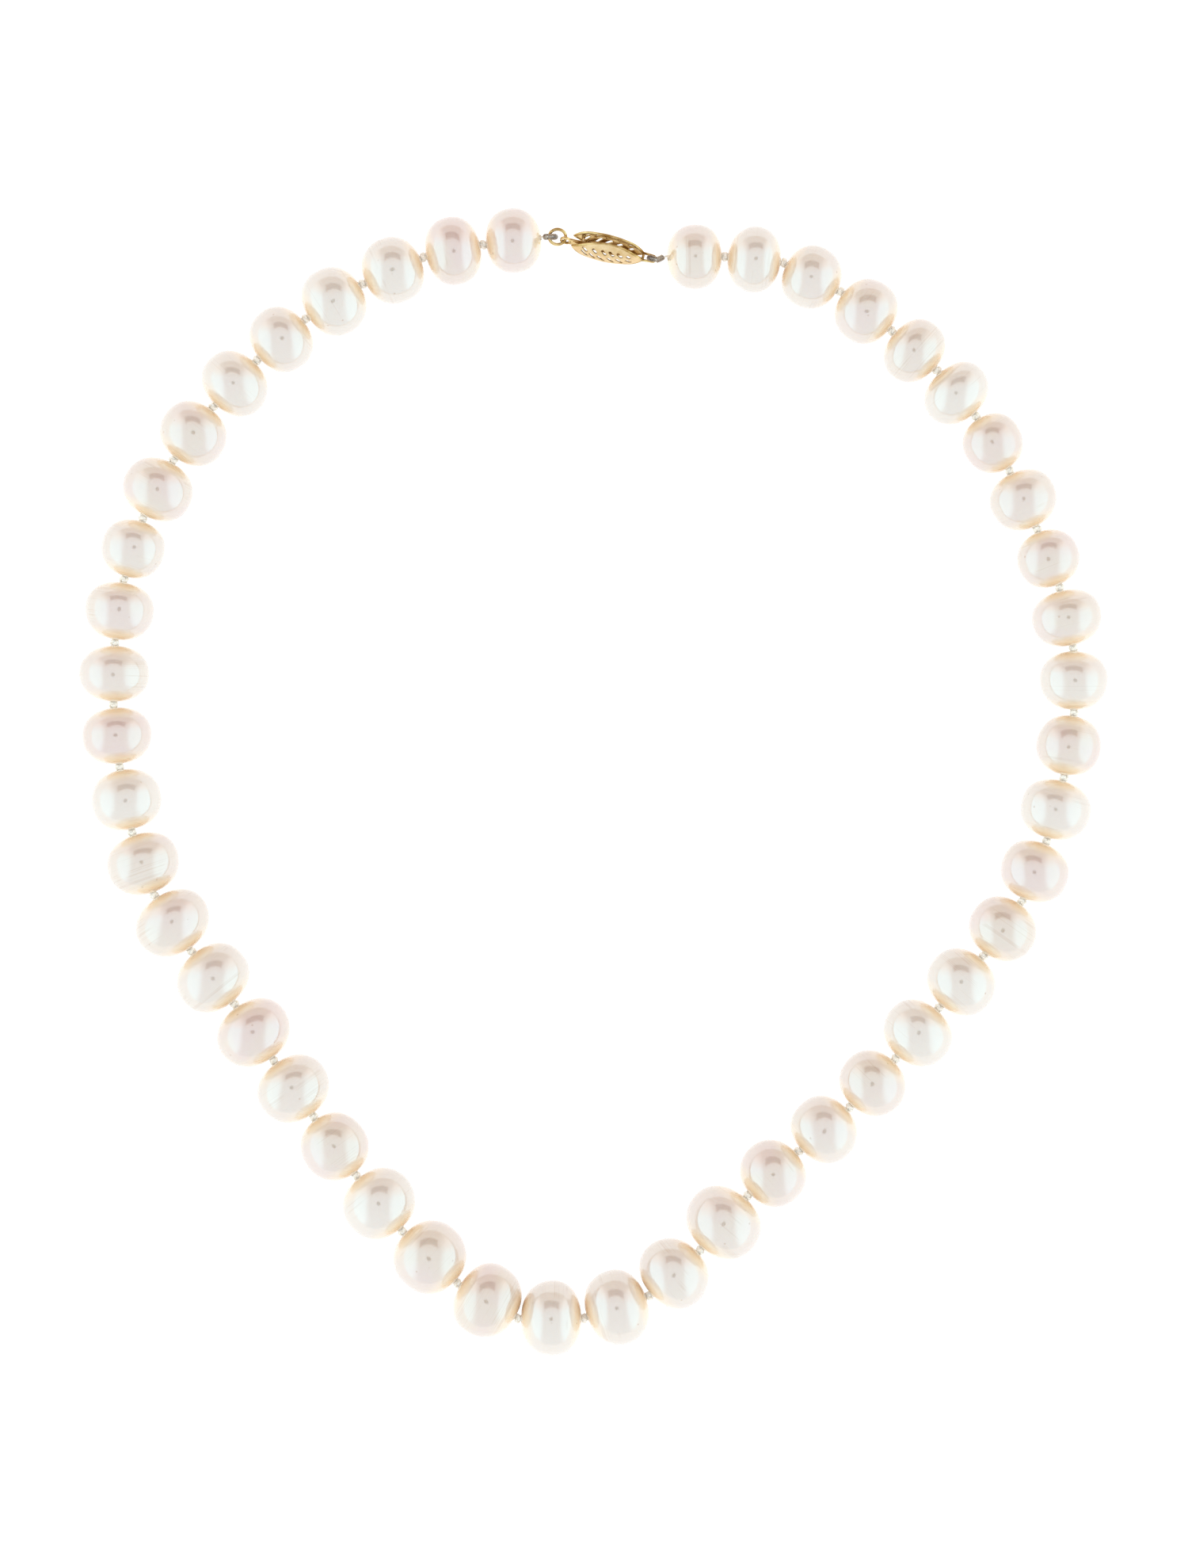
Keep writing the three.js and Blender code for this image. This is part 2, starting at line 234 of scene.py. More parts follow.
def add_light_tent():
    """Paints the tent's walls on the sky: boxes left and right, and a gap towards the clasp."""
    world = bpy.data.worlds.new("light_tent")
    bpy.context.scene.world = world
    world.use_nodes = True
    tree = world.node_tree
    tree.nodes.clear()
    direction = add_node(tree, "ShaderNodeTexCoord").outputs["Generated"]
    parts = add_node(tree, "ShaderNodeSeparateXYZ", _0=direction).outputs
    side = add_node(tree, "ShaderNodeMath", {"operation": "ABSOLUTE"}, _0=parts[0]).outputs[0]
    box = smooth_step(tree, side, *BOX_EDGE, 0.0, 1.0)
    wall = add_node(tree, "ShaderNodeMapRange", _0=box, _3=CEILING_LIGHT, _4=BOX_LIGHT).outputs[0]
    far_wall = smooth_step(tree, parts[1], *FAR_WALL, 1.0, FAR_WALL_DIMMING)
    panel = wall_panel(tree, parts, GAP_HEIGHT, GAP_HALF_WIDTH, GAP_HALF_HEIGHT, GAP_SOFTNESS)
    gap = add_node(tree, "ShaderNodeMapRange", _0=panel, _3=1.0, _4=GAP_DIMMING).outputs[0]
    camera_spot = add_node(tree, "ShaderNodeVectorMath", {"operation": "DISTANCE"},
                           _0=direction, _1=(0.0, 0.0, 1.0)).outputs["Value"]
    camera_hole = smooth_step(tree, camera_spot, *CAMERA_HOLE, CAMERA_DIMMING, 1.0)
    strength = product(tree, product(tree, wall, far_wall), product(tree, gap, camera_hole))
    colour = add_node(tree, "ShaderNodeMix", {"data_type": "RGBA"}, _0=box,
                      _6=linear(CEILING_COOL), _7=linear(BOX_COOL)).outputs[2]
    far = smooth_step(tree, parts[1], *FAR_WALL, 0.0, 1.0)
    colour = add_node(tree, "ShaderNodeMix", {"data_type": "RGBA"}, _0=far,
                      _6=colour, _7=linear(FAR_WALL_WARM)).outputs[2]
    colour = add_node(tree, "ShaderNodeMix", {"data_type": "RGBA"}, _0=panel,
                      _6=colour, _7=linear(GAP_GLOW)).outputs[2]
    sky = add_node(tree, "ShaderNodeBackground", Color=colour, Strength=strength)
    return add_node(tree, "ShaderNodeOutputWorld", Surface=sky.outputs[0])


add_light_tent()
bpy.context.scene.view_settings.view_transform = "Standard"
print("the boxes are", round(BOX_LIGHT / CEILING_LIGHT, 1), "times as bright as the ceiling")

# %% [markdown]
# ## Where the knots are
#
# The plain model has one joint at each knot, so the joints say where the thread runs. The pearls
# hang between neighbouring knots like beads on a rail. Only the two outer ends have no joint, and
# they are found by going the same distance past the pearl's middle.

# %% Knots and pearls from the plain model
PEARL_COUNT = sum(name.startswith("pearl_") for name in frame["nodes"])
GAP = 0.8 * MM
CAD_SIDES = 12


def pearl_node(number):
    return f"pearl_{number:02d}"


def link_body(number):
    return f"link_{number:02d}"


def find_knots():
    """The knot after each pearl, by the number of that pearl, with both ends of the strand."""
    places = {}
    for joint in frame["joints"]:
        if joint["parent"].startswith("link_") and joint["child"].startswith("link_"):
            lower = min(int(joint["parent"][-2:]), int(joint["child"][-2:]))
            places[lower] = Vector(joint["pos_m"])
    for end, inner, pearl in ((0, 1, 1), (PEARL_COUNT, PEARL_COUNT - 1, PEARL_COUNT)):
        points = [vertex.co for vertex in frame["nodes"][pearl_node(pearl)].data.vertices]
        middle = sum(points, Vector()) / len(points)
        places[end] = 2 * middle - places[inner]
    return [places[number] for number in range(PEARL_COUNT + 1)]


def pearl_sizes(number):
    """Middle, direction of the hole, length along it and diameter across it."""
    before, after = knots[number - 1], knots[number]
    middle = (before + after) / 2
    along = (after - before).normalized()
    length = (after - before).length - GAP
    spokes = [(vertex.co - middle).cross(along).length
              for vertex in frame["nodes"][pearl_node(number)].data.vertices]
    diameter = 2 * max(spokes) * math.cos(math.pi / CAD_SIDES)
    return middle, along, length, diameter


knots = find_knots()
print(len(knots), "knots and ends; the first pearl is",
      [round(size / MM, 1) for size in pearl_sizes(1)[2:]], "mm long and across")

# %% [markdown]
# ## Nacre
#
# A pearl is thousands of thin layers of aragonite over a bead. Light goes a little way in, which
# makes the body creamy, and the layers mirror softly, which gives the lustre. So the shader is a
# warm body with some scattering under a clear coat. Its index is set higher than that of one
# layer, because thousands of layers mirror more than one does. Four patterns break it up: the
# overtone drifts between rose and cream, and the skin is painted lighter and yellower round the
# drilled holes. That is partly a honey tone and partly painted light against the shade of the
# neighbouring pearls. Here and there the layers stopped early and left a pinhole, and on some pearls
# faint growth rings run round the hole. Patterns that follow the hole read attributes on the mesh,
# because each pearl lies a different way round.

# %% Nacre
NACRE_INDEX = 1.56
LUSTRE_INDEX = 2.5
COAT_ROUGHNESS = 0.05
BODY_CREAM = "#d9c3af"
BODY_ROSE = "#d9bdb1"
BODY_PALE = "#dccbbc"
CAP_HONEY_AND_PAINTED_LIGHT = "#fadcb4"
PINHOLE_TAN = "#b98d6c"
OVERTONE_SPACING = 6 * MM
PINHOLE_SPACING = 3.2 * MM
PINHOLE_RADIUS = 0.13 * MM
SKIN_RIPPLE_SPACING = 0.9 * MM
RINGS_PER_PEARL = 2.5
RING_STRENGTH = 0.22
RING_HALF_WIDTH = 0.02
RING_PATCH = (0.5, 0.62)
OVERTONE_BAND = (0.38, 0.62)
CAP_START = 0.45
CAP_STRENGTH = 0.8
PINHOLE_CORE = 0.3
PINHOLE_FADE = 2
PINHOLE_STRENGTH = 0.55
BODY_ROUGHNESS = 0.22
GLOW_WEIGHT = 0.2
GLOW_DEPTH = 0.5 * MM
GLOW_REACH = (1.0, 0.75, 0.55)


def growth_rings(tree, drift):
    """How strongly a growth ring shows: a few thin arcs round the hole, faded in and out."""
    latitude = add_node(tree, "ShaderNodeAttribute", {"attribute_name": "latitude"}).outputs["Fac"]
    wander = add_node(tree, "ShaderNodeTexNoise", {"noise_dimensions": "1D"}, W=latitude,
                      Scale=RINGS_PER_PEARL, Detail=2.0).outputs[0]
    away = add_node(tree, "ShaderNodeMath", {"operation": "SUBTRACT"}, _0=wander,
                    _1=0.5).outputs[0]
    away = add_node(tree, "ShaderNodeMath", {"operation": "ABSOLUTE"}, _0=away).outputs[0]
    line = smooth_step(tree, away, 0.0, RING_HALF_WIDTH, RING_STRENGTH, 0.0)
    return product(tree, line, smooth_step(tree, drift, *RING_PATCH, 0.0, 1.0))


def nacre():
    """Cultured nacre: a cream body, a soft mirror over it, honey and painted light round the holes, and pinholes.
    """
    material, tree, output = new_finish("cultured_nacre")
    place = add_node(tree, "ShaderNodeTexCoord").outputs["Object"]
    drift = add_node(tree, "ShaderNodeTexNoise", Vector=place, Scale=1 / OVERTONE_SPACING,
                     Detail=2.0, Roughness=0.5).outputs[0]
    body = add_node(tree, "ShaderNodeValToRGB", Fac=drift)
    body.color_ramp.elements[0].position = OVERTONE_BAND[0]
    body.color_ramp.elements[0].color = linear(BODY_ROSE)
    body.color_ramp.elements[1].position = OVERTONE_BAND[1]
    body.color_ramp.elements[1].color = linear(BODY_CREAM)
    tone = add_node(tree, "ShaderNodeAttribute", {"attribute_name": "tone"}).outputs["Fac"]
    toned = add_node(tree, "ShaderNodeMix", {"data_type": "RGBA"}, _0=tone,
                     _6=body.outputs[0], _7=linear(BODY_PALE)).outputs[2]
    along = add_node(tree, "ShaderNodeAttribute", {"attribute_name": "along"}).outputs["Fac"]
    # Round the holes the skin is painted lighter and warmer: partly a honey tone, partly painted light against
    # the shade of the neighbouring pearls.
    cap = add_node(tree, "ShaderNodeMapRange", {"interpolation_type": "SMOOTHERSTEP"},
                   _0=along, _1=CAP_START, _2=1.0, _3=0.0, _4=CAP_STRENGTH).outputs[0]
    capped = add_node(tree, "ShaderNodeMix", {"data_type": "RGBA"}, _0=cap,
                      _6=toned, _7=linear(CAP_HONEY_AND_PAINTED_LIGHT)).outputs[2]
    cells = add_node(tree, "ShaderNodeTexVoronoi", Vector=place, Scale=1 / PINHOLE_SPACING,
                     Randomness=1.0).outputs["Distance"]
    pinhole = add_node(tree, "ShaderNodeMapRange", {"interpolation_type": "SMOOTHSTEP"},
                       _0=cells, _1=PINHOLE_CORE * PINHOLE_RADIUS / PINHOLE_SPACING,
                       _2=PINHOLE_FADE * PINHOLE_RADIUS / PINHOLE_SPACING,
                       _3=PINHOLE_STRENGTH, _4=0.0).outputs[0]
    spotted = add_node(tree, "ShaderNodeMix", {"data_type": "RGBA"}, _0=pinhole,
                       _6=capped, _7=linear(PINHOLE_TAN)).outputs[2]
    ring = growth_rings(tree, drift)
    ringed = add_node(tree, "ShaderNodeMix", {"data_type": "RGBA"}, _0=ring,
                      _6=spotted, _7=linear(PINHOLE_TAN)).outputs[2]
    ripple = add_node(tree, "ShaderNodeTexNoise", Vector=place, Scale=1 / SKIN_RIPPLE_SPACING,
                      Detail=1.0).outputs[0]
    rippled = add_node(tree, "ShaderNodeBump", Strength=0.2, Distance=0.02 * MM,
                       Height=ripple).outputs[0]
    pitted = add_node(tree, "ShaderNodeBump", {"invert": True}, Strength=0.6,
                      Distance=0.05 * MM, Height=pinhole, Normal=rippled).outputs[0]
    skin = add_node(tree, "ShaderNodeBsdfPrincipled", Base_Color=ringed, Roughness=BODY_ROUGHNESS,
                    IOR=NACRE_INDEX, Coat_Weight=1.0, Coat_Roughness=COAT_ROUGHNESS,
                    Coat_IOR=LUSTRE_INDEX, Subsurface_Weight=GLOW_WEIGHT,
                    Subsurface_Scale=GLOW_DEPTH, Subsurface_Radius=GLOW_REACH, Normal=pitted, Coat_Normal=rippled)
    tree.links.new(skin.outputs[0], output.inputs[0])
    return material


cultured_nacre = nacre()
print("nacre mirrors", round(((NACRE_INDEX - 1) / (NACRE_INDEX + 1)) ** 2 * 100, 1), "% head on")

# %% [markdown]
# ## One pearl
#
# These pearls are near-round buttons: a little shorter along the hole than across it, and slightly
# flat where the hole comes out. Half of that outline is a curve from one mouth of the hole to the
# other, and spinning it once round the hole makes the pearl, bore included. A slow noise then moves
# the skin in and out by about a tenth of a millimetre, so that no two pearls are the same.

# %% Pearl helpers
BORE = 0.45 * MM
SQUARENESS = 2.18
OUTLINE_STEPS = 36
SPIN_STEPS = 72
LUMP_SPACING = 4.5 * MM
LUMP_HEIGHT = 0.13 * MM
RING_SEED = 50
PEARL_SEED = 46
EGG_LIMIT = 0.018
NOISE_REACH = 9


def turn_to(direction):
    """A turn that takes +Z to direction, with +X kept level."""
    level = Vector((0, 0, 1)).cross(direction).normalized()
    return Matrix((level, direction.cross(level), direction)).transposed()


def finish_mesh(name, shape, material, smooth=True):
    """Turns a bmesh into a shown object at the origin, with one finish."""
    mesh = bpy.data.meshes.new(name)
    shape.to_mesh(mesh)
    shape.free()
    mesh.materials.append(material)
    mesh.polygons.foreach_set("use_smooth", [smooth] * len(mesh.polygons))
    thing = bpy.data.objects.new(name, mesh)
    bpy.context.scene.collection.objects.link(thing)
    return thing


def pearl_outline(length, diameter, egg):
    """Half the pearl's outline, as pairs of radius and height, from hole to hole."""
    power = 2 / SQUARENESS
    points = []
    for step in range(OUTLINE_STEPS + 1):
        angle = math.pi * (step / OUTLINE_STEPS - 0.5)
        height = math.copysign(abs(math.sin(angle)) ** power, angle) * length / 2
        belly = abs(math.cos(angle)) ** power * (1 + egg * math.sin(2 * angle))
        points.append((max(belly * diameter / 2, BORE), height))
    return points


def make_pearl(number, dice):
    """Spins a pearl, roughens it a little and puts it between its knots."""
    middle, along, length, diameter = pearl_sizes(number)
    egg = dice.uniform(-EGG_LIMIT, EGG_LIMIT)
    shape = bmesh.new()
    line = [shape.verts.new((radius, 0, height))
            for radius, height in pearl_outline(length, diameter, egg)]
    edges = [shape.edges.new(pair) for pair in zip(line, line[1:])]
    edges.append(shape.edges.new((line[-1], line[0])))
    bmesh.ops.spin(shape, geom=line + edges, cent=(0, 0, 0), axis=(0, 0, 1),
                   angle=2 * math.pi, steps=SPIN_STEPS, use_merge=True, use_duplicate=False)
    bmesh.ops.remove_doubles(shape, verts=shape.verts, dist=1e-7)
    bmesh.ops.recalc_face_normals(shape, faces=shape.faces)
    offset = Vector([dice.uniform(-NOISE_REACH, NOISE_REACH) for axis in range(3)])
    for vertex in shape.verts:
        radius = vertex.co.xy.length
        if radius > 1.01 * BORE:
            lump = noise.noise(vertex.co / LUMP_SPACING + offset) * LUMP_HEIGHT
            vertex.co.xy *= 1 + lump / (diameter / 2)
    bmesh.ops.rotate(shape, verts=shape.verts, cent=(0, 0, 0), matrix=turn_to(along))
    bmesh.ops.translate(shape, verts=shape.verts, vec=middle)
    pearl = finish_mesh(f"nacre_{pearl_node(number)}", shape, cultured_nacre)
    mark_pearl(pearl, middle, along, length, dice.uniform(0, 1))
    return pearl


def mark_pearl(pearl, middle, along, length, tone):
    """Stores how near each point is to a mouth of the hole, and the pearl's own overtone."""
    mesh = pearl.data
    places = mesh.attributes.new("along", "FLOAT", "POINT")
    tones = mesh.attributes.new("tone", "FLOAT", "POINT")
    rings = mesh.attributes.new("latitude", "FLOAT", "POINT")
    heights = [(vertex.co - middle).dot(along) / (length / 2) for vertex in mesh.vertices]
    places.data.foreach_set("value", [min(1, abs(height)) for height in heights])
    tones.data.foreach_set("value", [tone] * len(heights))
    rings.data.foreach_set("value", [height + RING_SEED * tone for height in heights])


# %% String the pearls
def string_pearls():
    """Makes every pearl, each riding on its own link of the strand."""
    dice = random.Random(PEARL_SEED)
    faces = 0
    for number in range(1, PEARL_COUNT + 1):
        pearl = make_pearl(number, dice)
        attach(pearl, link_body(number))
        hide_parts(pearl_node(number))
        faces += len(pearl.data.polygons)
    return faces


print(string_pearls(), "faces in", PEARL_COUNT, "pearls")

# %% [markdown]
# ## Silk
#
# The thread is white silk twisted from two plies. It is shown only between the pearls, where a
# knot fills the gap so that a broken strand loses one pearl at most. Silk has a soft sheen and fine
# fibres that run round with the twist. The thread also glows a little by itself. That glow is painted
# light, so that the thread stays white even in the shade between two pearls.

# %% Silk
SILK_WHITE = "#f6f4ec"
SILK_SHADE = "#ece8df"
FIBRE_SPACING = 0.12 * MM
SILK_PAINTED_GLOW = 0.14


def silk():
    """Twisted silk: pale, matt, with a soft sheen, a painted glow and fine fibres drawn coarse enough to show."""
    material, tree, output = new_finish("twisted_silk")
    place = add_node(tree, "ShaderNodeTexCoord").outputs["Object"]
    fibre = add_node(tree, "ShaderNodeTexNoise", Vector=place, Scale=1 / FIBRE_SPACING,
                     Detail=3.0).outputs[0]
    shade = add_node(tree, "ShaderNodeValToRGB", Fac=fibre)
    shade.color_ramp.elements[0].color = linear(SILK_SHADE)
    shade.color_ramp.elements[1].color = linear(SILK_WHITE)
    fuzz = add_node(tree, "ShaderNodeBump", Strength=0.4, Distance=0.03 * MM,
                    Height=fibre).outputs[0]
    strand = add_node(tree, "ShaderNodeBsdfPrincipled", Base_Color=shade.outputs[0],
                      Roughness=0.7, Sheen_Weight=0.4, Sheen_Roughness=0.4, Normal=fuzz,
                      # Emission: painted light, so that the thread stays white in the shade between the pearls.
                      Emission_Color=linear(SILK_WHITE), Emission_Strength=SILK_PAINTED_GLOW,
                      Subsurface_Weight=0.9, Subsurface_Scale=0.4 * MM,
                      Subsurface_Radius=(1.0, 0.97, 0.92))
    tree.links.new(strand.outputs[0], output.inputs[0])
    return material


twisted_silk = silk()
print("silk fibres", FIBRE_SPACING / MM, "mm apart")

# %% [markdown]
# ## Thread and knots
#
# A thread is a tube that follows a line of points. Blender's curves do that: a curve with a round
# bevel, turned to a mesh. Two plies wind round the middle line, and the knot itself is a tube that
# follows a trefoil, the curve of a real overhand knot.

# %% Tubes along a line
def tube_mesh(lines, radius, sides=2, closed=False):
    """A bmesh of round tubes, one along each line of points. sides=2 gives an octagon."""
    curve = bpy.data.curves.new("route", "CURVE")
    curve.dimensions = "3D"
    curve.bevel_depth = radius
    curve.bevel_resolution = sides
    curve.use_fill_caps = True
    for points in lines:
        spline = curve.splines.new("POLY")
        spline.points.add(len(points) - 1)
        spline.points.foreach_set("co", [value for point in points for value in (*point, 1)])
        spline.use_cyclic_u = closed
    holder = bpy.data.objects.new("route", curve)
    bpy.context.scene.collection.objects.link(holder)
    bpy.context.view_layer.update()
    evaluated = holder.evaluated_get(bpy.context.evaluated_depsgraph_get())
    mesh = bpy.data.meshes.new_from_object(evaluated)
    shape = bmesh.new()
    shape.from_mesh(mesh)
    bmesh.ops.remove_doubles(shape, verts=shape.verts, dist=1e-8)
    bmesh.ops.recalc_face_normals(shape, faces=shape.faces)
    bpy.data.meshes.remove(mesh)
    bpy.data.objects.remove(holder)
    bpy.data.curves.remove(curve)
    return shape


def merged(shapes):
    """Several bmeshes as one, each left as its own island."""
    whole = bmesh.new()
    for shape in shapes:
        mesh = bpy.data.meshes.new("part")
        shape.to_mesh(mesh)
        shape.free()
        whole.from_mesh(mesh)
        bpy.data.meshes.remove(mesh)
    return whole


# %% Knotted gaps
PLY_RADIUS = 0.15 * MM
PLY_OFFSET = 0.13 * MM
TWIST_LENGTH = 0.9 * MM
THREAD_REACH = 1.5 * MM
KNOT_STRAND = 0.26 * MM
KNOT_WIDTH = 0.29 * MM
KNOT_SQUASH = 0.5
KNOT_SCALE = 0.62
KNOT_SEED = 7
HALF_PLY_STEPS = 12
TREFOIL_STEPS = 40


def knotted_gap(number, dice):
    """The thread and the knot between two pearls."""
    knot = knots[number]
    along = (knots[number + 1] - knots[number - 1]).normalized()
    turn = turn_to(along)
    phase = dice.uniform(0, 2 * math.pi)
    plies = []
    for ply in (0, math.pi):
        line = []
        for step in range(2 * HALF_PLY_STEPS + 1):
            height = (step / HALF_PLY_STEPS - 1) * THREAD_REACH
            angle = phase + ply + 2 * math.pi * height / TWIST_LENGTH
            spot = Vector((PLY_OFFSET * math.cos(angle), PLY_OFFSET * math.sin(angle), height))
            line.append(knot + turn @ spot)
        plies.append(line)
    trefoil = []
    for step in range(TREFOIL_STEPS):
        t = 2 * math.pi * step / TREFOIL_STEPS
        spot = Vector((math.sin(t) + 2 * math.sin(2 * t), math.cos(t) - 2 * math.cos(2 * t),
                       -KNOT_SQUASH * 2 * math.sin(3 * t)))
        spin = Matrix.Rotation(phase, 3, "Z")
        trefoil.append(knot + turn @ (spin @ (spot * KNOT_WIDTH * KNOT_SCALE)))
    shapes = [tube_mesh(plies, PLY_RADIUS, 1), tube_mesh([trefoil], KNOT_STRAND, 1, True)]
    piece = finish_mesh(f"silk_knot_{number:02d}", merged(shapes), twisted_silk)
    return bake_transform(piece)


def knot_the_strand():
    """A knotted gap between each pair of pearls, in place of the plain thread."""
    dice = random.Random(KNOT_SEED)
    for number in range(1, PEARL_COUNT):
        piece = knotted_gap(number, dice)
        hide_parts("silk_thread")
    return PEARL_COUNT - 1


print(knot_the_strand(), "knotted gaps")

# %% [markdown]
# ## Gold
#
# The clasp is yellow gold in two finishes. Where fingers and tools have rubbed it, on the rims, the
# ring and the tongue, it is polished: a metal with low roughness and a little unevenness from
# wear. The outer leaf is granulated, struck all over with a fine punch, which scatters the light
# and makes the gold look pale and dry. The gimp is thin wire that has tarnished brown.

# %% Gold finishes
GOLD_DEEP = "#a1793c"
GOLD_BRIGHT = "#e4c78d"
GOLD_PALE = "#eed3a8"
TARNISH = "#7c6a5e"
PUNCH_SPACING = 0.16 * MM
WEAR_SPACING = 1.5 * MM
WEAR_BAND = (0.35, 0.65)
LEAF_GOLD = "#dcb983"
WIRE_SHINE = "#d6c6b2"


def metal(name, dark, light, roughness, grain, depth):
    """A metal whose colour drifts between two tones, with a grain of a given spacing and depth."""
    material, tree, output = new_finish(name)
    place = add_node(tree, "ShaderNodeTexCoord").outputs["Object"]
    wear = add_node(tree, "ShaderNodeTexNoise", Vector=place, Scale=1 / WEAR_SPACING,
                    Detail=3.0).outputs[0]
    colour = add_node(tree, "ShaderNodeValToRGB", Fac=wear)
    colour.color_ramp.elements[0].position = WEAR_BAND[0]
    colour.color_ramp.elements[0].color = linear(dark)
    colour.color_ramp.elements[1].position = WEAR_BAND[1]
    colour.color_ramp.elements[1].color = linear(light)
    rough = add_node(tree, "ShaderNodeMapRange", _0=wear, _1=0.3, _2=0.7, _3=roughness * 0.8,
                     _4=roughness * 1.25).outputs[0]
    punch = add_node(tree, "ShaderNodeTexVoronoi", Vector=place, Scale=1 / grain).outputs[0]
    dented = add_node(tree, "ShaderNodeBump", Strength=0.5, Distance=depth, Height=punch)
    surface = add_node(tree, "ShaderNodeBsdfPrincipled", Base_Color=colour.outputs[0],
                       Metallic=1.0, Roughness=rough, Normal=dented.outputs[0])
    tree.links.new(surface.outputs[0], output.inputs[0])
    return material


polished_gold = metal("polished_gold", GOLD_DEEP, GOLD_BRIGHT, 0.22, 0.5 * MM, 0.004 * MM)
granulated_gold = metal("granulated_gold", LEAF_GOLD, GOLD_PALE, 0.5, PUNCH_SPACING, 0.04 * MM)
tarnished_wire = metal("tarnished_wire", TARNISH, WIRE_SHINE, 0.3, 0.3 * MM, 0.01 * MM)
print("three metal finishes")

# %% [markdown]
# ## The clasp's own frame
#
# The shell lies over on its side and points a little down to the right. It is easier to model flat,
# with x along it, y across its leaves and z out of the front leaf, and to turn it into place at the
# end. The plain model's hinge at the bail says where the far end goes.

# %% Clasp frame
SHELL_TURN = -12.9 * DEGREE
SHELL_ROLL = 61 * DEGREE
BAIL_PIVOT_PLACE = 12.23 * MM


def joint_place(name):
    return next(Vector(joint["pos_m"]) for joint in frame["joints"] if joint["name"] == name)


bail_pivot = joint_place("clasp_roll")
shell_turn = Matrix.Rotation(SHELL_TURN, 4, "Z") @ Matrix.Rotation(SHELL_ROLL, 4, "X")
shell_mouth = bail_pivot - shell_turn.to_3x3() @ Vector((BAIL_PIVOT_PLACE, 0, 0))
to_clasp = Matrix.Translation(shell_mouth) @ shell_turn
print("the shell's mouth is at", [round(value / MM, 1) for value in shell_mouth], "mm")

# %% [markdown]
# ## Two pierced leaves
#
# Each leaf is a marquise, pointed at both ends, pushed up into a dome and pierced with slanting
# slots. A grid squeezed to that outline and lifted gives the dome, Solidify gives it a wall, and a
# Boolean cuts the slots with a set of slim rounded bars, as a saw and file would. A round wire is
# then laid along the edge, because the real rim is rolled and polished.

# %% Leaf helpers
LEAF_LENGTH = 10.4 * MM
LEAF_WIDTH = 4.6 * MM
LEAF_WALL = 0.26 * MM
LEAF_DOME = 1.1 * MM
GAP_AT_MOUTH = 0.75 * MM
GAP_AT_BAIL = 0.35 * MM
RIM_RADIUS = 0.2 * MM
SLOT_WIDTH = 0.5 * MM
LEAF_GRID = (56, 18)
LEAF_TRIM = 0.0075
RIM_STEPS = 48
RIM_POINT = 0.02 * MM
CUTTER_DEPTH = 8 * MM
SLOT_SLANT = 42 * DEGREE


def leaf_half_width(x):
    """Half the marquise's width at x, from two arcs that meet at the points."""
    half = LEAF_LENGTH / 2
    radius = (half ** 2 + (LEAF_WIDTH / 2) ** 2) / LEAF_WIDTH
    return max(0.0, math.sqrt(radius ** 2 - (x - half) ** 2) - radius + LEAF_WIDTH / 2)


def leaf_rise(x, y):
    """How far the leaf stands from the shell's middle plane."""
    along, across = x / LEAF_LENGTH, y / LEAF_WIDTH
    dome = max(0.0, 1 - (2 * along - 1) ** 2 - (2 * across) ** 2)
    return GAP_AT_MOUTH + (GAP_AT_BAIL - GAP_AT_MOUTH) * along + LEAF_DOME * dome


def slot_cutter(slots):
    """Slim upright bars with round ends, one for each slot: x, y, length and slant."""
    cutter = bmesh.new()
    for x, y, length, slant in slots:
        made = bmesh.ops.create_cone(cutter, cap_ends=True, segments=16, radius1=SLOT_WIDTH / 2,
                                     radius2=SLOT_WIDTH / 2, depth=CUTTER_DEPTH)
        for vertex in made["verts"]:
            stretch = (length - SLOT_WIDTH) / 2
            vertex.co.x += math.copysign(stretch, vertex.co.x)
        bmesh.ops.rotate(cutter, verts=made["verts"], cent=(0, 0, 0),
                         matrix=Matrix.Rotation(slant, 3, "Z"))
        bmesh.ops.translate(cutter, verts=made["verts"], vec=(x, y, 0))
    return finish_mesh("slot_cutter", cutter, polished_gold)


def leaf_slots(rows, slant):
    """Rows of hand-cut slots that follow the rim: each row's count, height and slot length."""
    slots = []
    dice = random.Random(len(rows) + rows[0][0])
    for count, row, length in rows:
        for step in range(count):
            x = LEAF_LENGTH * (0.19 + 0.62 * (step + dice.uniform(-0.12, 0.12)) / (count - 1))
            bow = leaf_half_width(x) / (LEAF_WIDTH / 2)
            size = length * (0.45 + 0.55 * bow) * dice.uniform(0.85, 1.1)
            slots.append((x, row * bow * MM, size * MM, slant * dice.uniform(0.9, 1.1)))
    return slots


def make_leaf(name, side, material, slots):
    """One leaf: side is 1 for the front and -1 for the back."""
    shape = bmesh.new()
    bmesh.ops.create_grid(shape, x_segments=LEAF_GRID[0], y_segments=LEAF_GRID[1], size=0.5)
    for vertex in shape.verts:
        x = (vertex.co.x + 0.5) * LEAF_LENGTH * (1 - 2 * LEAF_TRIM) + LEAF_TRIM * LEAF_LENGTH
        y = vertex.co.y * 2 * leaf_half_width(x)
        vertex.co = (x, y, side * leaf_rise(x, y))
    if side < 0:
        bmesh.ops.reverse_faces(shape, faces=shape.faces)
    leaf = finish_mesh(name, shape, material)
    wall = leaf.modifiers.new("wall", "SOLIDIFY")
    wall.thickness = LEAF_WALL
    wall.offset = 1.0
    cutter = slot_cutter(slots)
    pierce = leaf.modifiers.new("pierce", "BOOLEAN")
    pierce.operation = "DIFFERENCE"
    pierce.object = cutter
    settle(leaf)
    bpy.data.objects.remove(cutter)
    return leaf


def settle(thing):
    """Applies a thing's modifiers."""
    bpy.context.view_layer.update()
    evaluated = thing.evaluated_get(bpy.context.evaluated_depsgraph_get())
    mesh = bpy.data.meshes.new_from_object(evaluated)
    thing.modifiers.clear()
    old, thing.data = thing.data, mesh
    bpy.data.meshes.remove(old)


